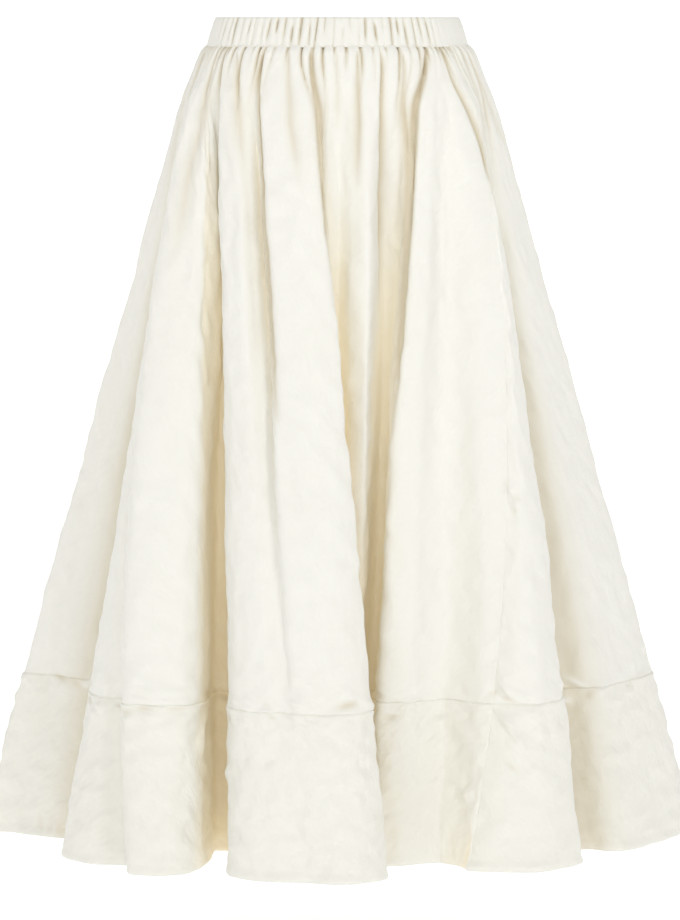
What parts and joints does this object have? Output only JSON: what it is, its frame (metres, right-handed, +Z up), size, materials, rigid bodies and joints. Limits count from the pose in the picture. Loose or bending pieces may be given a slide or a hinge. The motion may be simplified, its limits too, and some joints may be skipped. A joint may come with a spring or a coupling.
{
  "type": "gathered maxi skirt",
  "caption": "Full-length skirt, worn and filled out: elastic waistband, gathered flared panels falling in deep folds, and a deep hem band sewn round the foot.",
  "frame": {"origin": "the middle of the waistband at half its height, which is the mount waist", "axes": "+Z up along the body, -Y towards the front that the picture shows, +X to the right in the picture"},
  "size_m": [0.7602, 0.5712, 0.862],
  "materials": {
    "waistband_cloth": "soft cotton over elastic, matt",
    "panel_cloth": "plain woven cotton, soft, matt with a faint sheen",
    "hem_cloth": "doubled plain woven cotton, soft, matt with a faint sheen"
  },
  "bodies": {
    "root": {"waistband_front": "waistband_cloth", "waistband_back": "waistband_cloth", "panel_front": "panel_cloth", "panel_right": "panel_cloth", "panel_back": "panel_cloth", "panel_left": "panel_cloth", "hem_band_front": "hem_cloth", "hem_band_right": "hem_cloth", "hem_band_back": "hem_cloth", "hem_band_left": "hem_cloth"}
  },
  "joints": []
}
